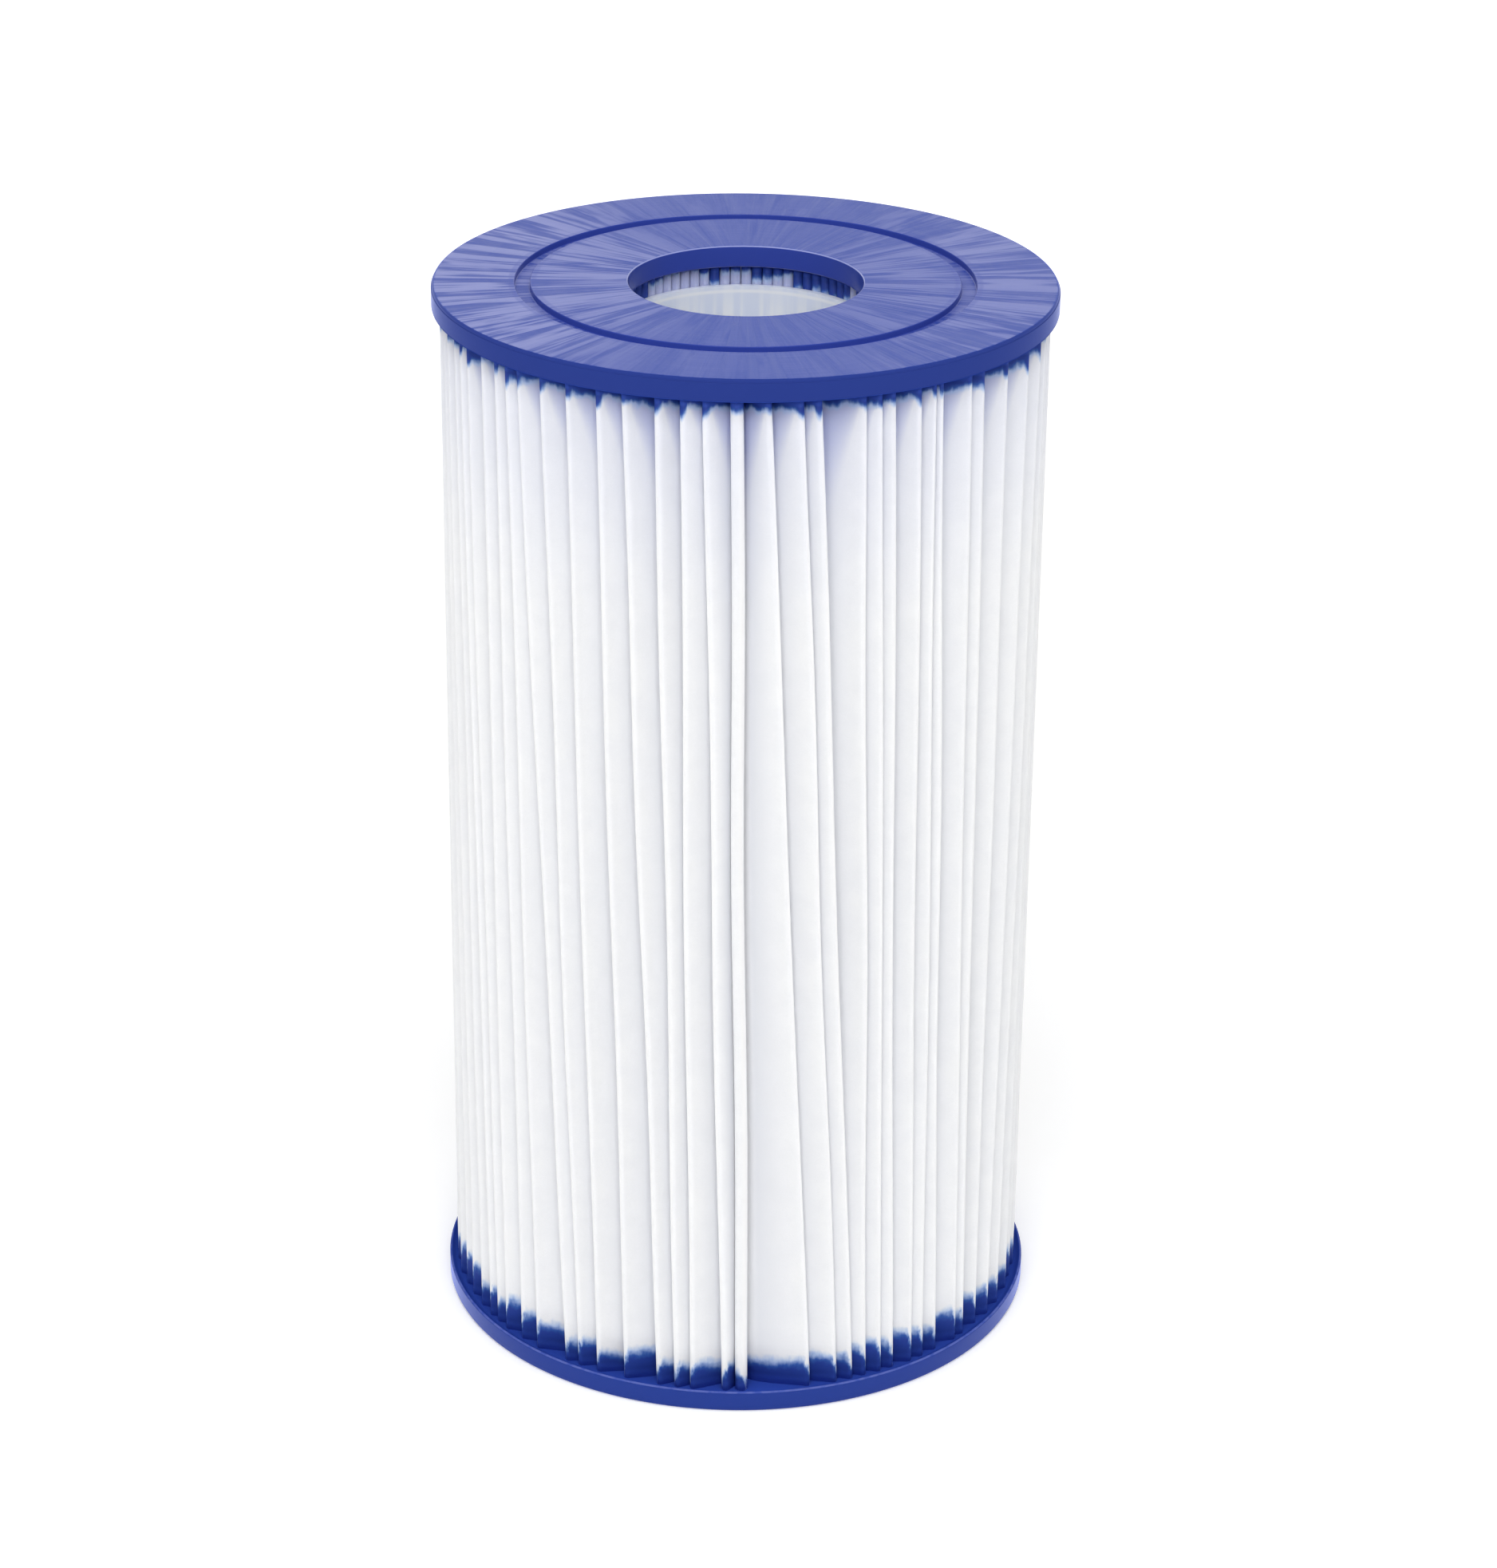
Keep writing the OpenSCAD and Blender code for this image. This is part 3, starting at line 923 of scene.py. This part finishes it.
def stain_colour(n, depth, above_lower, below_upper, crease, blots):
    """Colour of the soaked sheet, painted lighter by both caps to lift their shade, with pale threads along
    the crests of the lower stain.
    """
    stain = n.mix(n.ramp(depth, *DEEP_BAND), STAIN_MID, STAIN_DEEP)
    # Painted light by the lower cap and under the upper cap's rim
    stain = n.mix(n.ramp(above_lower, *FOOT_LIGHT_BAND), stain, STAIN_FOOT_PAINTED_LIGHT)
    stain = n.mix(n.ramp(below_upper, *HEM_LIGHT_BAND), stain, STAIN_HEM_PAINTED_LIGHT)
    thread = n.times(n.ramp(crease, *THREAD_WIDTH), n.ramp(blots, *THREAD_PATCHES))
    return n.mix(n.times(thread, lower_half(n)), stain, STAIN_EDGE)


def clean_colour(n, below_upper, mottle):
    """Colour of the clean sheet: mottled white, greyer down the troughs as painted shade, painted light deep
    in them, a painted highlight on the crests, and a painted shadow with blue bounce light near the upper
    cap.
    """
    cloud = n.noise(scale=160.0, detail=3.0)
    grain = n.plus(n.times(cloud, CLOUD_SHARE), n.times(mottle, MOTTLE_SHARE))
    white = n.mix(n.ramp(grain, *GRAIN_RANGE), MEDIA_SHADE, MEDIA_WHITE)
    trough = n.attribute("trough")
    # Painted shade down the troughs, painted light deep in them, and a painted highlight on the crests
    white = n.mix(n.ramp(trough, *TROUGH_SHADE), white, MEDIA_TROUGH_PAINTED_SHADE)
    white = n.mix(n.ramp(trough, *TROUGH_PAINTED_LIGHT), white, MEDIA_PAINTED_LIGHT)
    white = n.mix(n.ramp(n.attribute("crease"), *CREST_HIGHLIGHT_BAND), white, MEDIA_PAINTED_LIGHT)
    # Painted shadow under the upper cap, reaching farther down where a trough is deeper, and a faint one
    # farther down
    fold_depth = n.minus(TIP_R_HIGH - CAP_SHADOW_MARGIN, from_axis(n)[2])
    reach = n.most(n.times(fold_depth, CAP_SHADOW_REACH), CAP_SHADOW_LEAST_REACH)
    cap_shadow = n.ramp(n.math("DIVIDE", below_upper, reach), 1.0, 0.0)
    white = n.mix(n.times(cap_shadow, CAP_SHADOW_SHARE), white, MEDIA_CAP_SHADOW)
    return n.mix(n.ramp(below_upper, *BROAD_CAP_SHADOW), white, MEDIA_CAP_SHADOW)


def media_material():
    """Spunbonded white sheet, with cast resin soaked up from both caps, and painted light, shade and
    highlights in its colour.
    """
    n = Nodes("spunbond_white")
    above_lower = n.minus(n.height(), LOWER_FACE)
    below_upper = n.minus(UPPER_FACE, n.height())
    fibres = n.noise(scale=1500.0, detail=3.0, vector=n.drawn_out(0.35))
    blots = n.noise(scale=380.0, detail=2.0)
    mottle = n.noise(scale=2200.0, detail=4.0, distortion=1.2)
    crease = n.plus(n.attribute("crease"), n.times(n.minus(fibres, NOISE_MIDDLE), CREST_STRAY))
    depth = soak_depth(n, above_lower, below_upper, crease, fibres, blots)
    soaked = n.ramp(depth, *SOAK_BLUR)
    stain = stain_colour(n, depth, above_lower, below_upper, crease, blots)
    pale = n.mix(n.ramp(depth, *SOAK_HEM), clean_colour(n, below_upper, mottle), STAIN_EDGE)
    n.set(
        Base_Color=n.mix(soaked, pale, stain),
        Roughness=n.ramp(soaked, 0.0, 1.0, *SHEET_ROUGHNESS),
        Specular_IOR_Level=SHEET_GLOSS,
        Subsurface_Weight=n.ramp(soaked, 0.0, 1.0, *SHEET_SCATTER),
        Subsurface_Radius=EVEN_SCATTER,
        Subsurface_Scale=0.9 * MM,
    )
    weave = n.plus(mottle, n.times(fibres, FIBRE_BUMP_SHARE))
    n.set(Normal=n.bump(weave, strength=0.25, distance=0.08 * MM))
    return n.material


def core_material():
    """Natural polypropylene: milky white, with faint flow lines along the tube, painted shade below its rim
    and a painted highlight just under the rim.
    """
    n = Nodes("natural_plastic")
    flow = n.noise(scale=300.0, detail=4.0, vector=n.drawn_out(0.03))
    below_rim = n.minus(core_high.z, n.height())
    # Painted highlight just under the rim
    lip_highlight = n.ramp(n.apart(below_rim, CORE_LIP_DROP), *CORE_LIP_HIGHLIGHT_WIDTH)
    wall = n.mix(n.ramp(flow, *CORE_FLOW), CORE_DULL, CORE_CLEAR)
    # Painted shade below the rim
    wall = n.mix(n.ramp(below_rim, *CORE_SHADE_BAND), wall, CORE_SHADE)
    n.set(
        Base_Color=n.mix(n.times(lip_highlight, CORE_LIP_HIGHLIGHT_SHARE), wall, CORE_LIP_HIGHLIGHT),
        Roughness=n.ramp(flow, *CORE_ROUGHNESS),
        Subsurface_Weight=CORE_SCATTER,
        Subsurface_Radius=EVEN_SCATTER,
        Subsurface_Scale=1.2 * MM,
        IOR=PLASTIC_IOR,
    )
    n.set(Normal=n.bump(flow, strength=0.2, distance=0.1 * MM))
    return n.material


def seam_material():
    """Cloudy hot-melt adhesive."""
    n = Nodes("hot_melt")
    cloud = n.noise(scale=300.0, detail=4.0)
    n.set(
        Base_Color=n.mix(n.ramp(cloud, *SEAM_CLOUD), SEAM_DULL, SEAM_CLEAR),
        Roughness=n.ramp(cloud, *SEAM_CLOUD, *SEAM_ROUGHNESS),
        Subsurface_Weight=SEAM_SCATTER,
        Subsurface_Scale=1.0 * MM,
    )
    n.set(Normal=n.bump(cloud, strength=0.3, distance=0.3 * MM))
    return n.material


def paint(obj, *materials):
    """Gives an object these materials and no others."""
    obj.data.materials.clear()
    for material in materials:
        obj.data.materials.append(material)


def place(obj, materials, slot, *nodes):
    """Paints a new piece, puts it on the fixed body and lets it stand for its CAD nodes."""
    zones = [polygon.material_index for polygon in obj.data.polygons]
    paint(obj, *materials)
    obj.data.polygons.foreach_set("material_index", zones)
    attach(obj, "root")
    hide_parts(*nodes)


# The camera, from the rings that the photograph shows
LENS = 98.82
SENSOR_WIDTH = 36
CLIP_START = 0.05
CAMERA_DISTANCE = 1022.1 * MM
CAMERA_ELEVATION = 23.82
CAMERA_ROLL = 0.64
AIM = Vector((1.87 * MM, 0, 129.6 * MM))

# The stage, in metres; the floor glows towards its edge, so that it meets the world without a line
FLOOR_DULL = (0.90, 0.90, 0.90)
FLOOR_PALE = (0.93, 0.93, 0.93)
FLOOR_ROUGHNESS = 0.9
FLOOR_GLOSS = 0.1
FLOOR_HALF = 6.0
FLOOR_DROP = 0.02 * MM
FLOOR_GLOW_RADII = (0.4, 1.6)
FLOOR_GLOW = (0.25, 1.0)
WHITE = (1.0, 1.0, 1.0)
WORLD_LIGHT = 0.34
WORLD_SHOWN = 1.0
MIDDLE = (0, 0, HEIGHT / 2)
TOP = (0, 0, HEIGHT)
# Name, place, aim, size and watts
SOFTBOXES = [
    ("left_softbox", (-1.2, -0.3, 0.45), MIDDLE, (0.9, 0.8), 2.7),
    ("right_softbox", (1.2, -0.3, 0.45), MIDDLE, (0.9, 0.8), 2.8),
    ("front_softbox", (-0.1, -2.1, 1.65), MIDDLE, (1.6, 1.4), 28),
    ("top_softbox", (0, -0.5, 1.5), MIDDLE, (1.0, 0.8), 7.2),
    ("back_softbox", (0, 1.8, 0.95), TOP, (2.6, 0.8), 10),
]


def make_camera():
    """The photograph's camera."""
    tilt, roll = math.radians(CAMERA_ELEVATION), math.radians(CAMERA_ROLL)
    forward = Vector((0, math.cos(tilt), -math.sin(tilt)))
    level = Vector((1, 0, 0))
    upright = level.cross(forward)
    right = level * math.cos(roll) + upright * math.sin(roll)
    up = upright * math.cos(roll) - level * math.sin(roll)
    data = bpy.data.cameras.new("camera")
    data.lens = LENS
    data.sensor_width = SENSOR_WIDTH
    data.clip_start = CLIP_START
    camera = bpy.data.objects.new("camera", data)
    turn = Matrix((right, up, -forward)).transposed().to_4x4()
    camera.matrix_world = Matrix.Translation(AIM - forward * CAMERA_DISTANCE) @ turn
    bpy.context.scene.collection.objects.link(camera)
    bpy.context.scene.camera = camera


def add_light(name, place_m, aim_m, size_m, watts):
    """A rectangular lamp that shines at its aim."""
    data = bpy.data.lights.new(name, "AREA")
    data.shape = "RECTANGLE"
    data.size, data.size_y = size_m
    data.energy = watts
    light = bpy.data.objects.new(name, data)
    light.location = place_m
    light.rotation_euler = (Vector(aim_m) - Vector(place_m)).to_track_quat("-Z", "Y").to_euler()
    bpy.context.scene.collection.objects.link(light)


def background_rays(tree):
    """1 on the rays that show the background: straight from the camera, mirrored, or through glass."""
    path = tree.nodes.new("ShaderNodeLightPath").outputs
    either = path["Is Camera Ray"]
    for name in ("Is Glossy Ray", "Is Transmission Ray"):
        node = tree.nodes.new("ShaderNodeMath")
        node.operation = "MAXIMUM"
        tree.links.new(either, node.inputs[0])
        tree.links.new(path[name], node.inputs[1])
        either = node.outputs[0]
    return either


def make_floor():
    """A white floor that keeps the shadow."""
    half = FLOOR_HALF
    corners = [(-half, -half, 0), (half, -half, 0), (half, half, 0), (-half, half, 0)]
    floor = finish_mesh("floor", corners, [(0, 1, 2, 3)], smooth=False)
    floor.location.z = -FLOOR_DROP
    n = Nodes("floor_white")
    glow = n.ramp(from_axis(n)[2], *FLOOR_GLOW_RADII, *FLOOR_GLOW)
    n.set(
        Base_Color=n.mix(n.noise(scale=30.0, detail=3.0), FLOOR_DULL, FLOOR_PALE),
        Roughness=FLOOR_ROUGHNESS,
        Specular_IOR_Level=FLOOR_GLOSS,
        Emission_Color=WHITE,
        Emission_Strength=n.times(background_rays(n.tree), glow),
    )
    paint(floor, n.material)


def make_world():
    """A world that looks white and lights the part softly."""
    world = bpy.data.worlds.new("world")
    world.use_nodes = True
    tree = world.node_tree
    background = tree.nodes["Background"]
    background.inputs["Color"].default_value = (*WHITE, 1)
    strength = tree.nodes.new("ShaderNodeMapRange")
    strength.inputs["To Min"].default_value = WORLD_LIGHT
    strength.inputs["To Max"].default_value = WORLD_SHOWN
    tree.links.new(background_rays(tree), strength.inputs["Value"])
    tree.links.new(strength.outputs["Result"], background.inputs["Strength"])
    bpy.context.scene.world = world


bpy.context.scene.view_settings.view_transform = "Standard"
make_camera()
make_floor()
make_world()
for softbox in SOFTBOXES:
    add_light(*softbox)

pleats = Pleats()
face = cap_material("cast_blue_face", FACE_FINISH)
upper_rim = cap_material("cast_blue_upper_rim", UPPER_RIM_FINISH)
lower_rim = cap_material("cast_blue_lower_rim", LOWER_RIM_FINISH)
inside = cap_material("cast_blue_inside", INSIDE_FINISH)
place(end_cap("upper_cap", True), [face, upper_rim, inside], "end_cap", "top_end_cap")
place(end_cap("lower_cap", False), [face, lower_rim, inside], "end_cap", "bottom_end_cap")
sheet = pleated_sheet(pleats)
place(sheet, [media_material()], "media", "pleated_media")
place(seam_strip(pleats), [seam_material()], "seam", "media_seam")
core = frame["nodes"]["inner_core"]
paint(core, core_material())
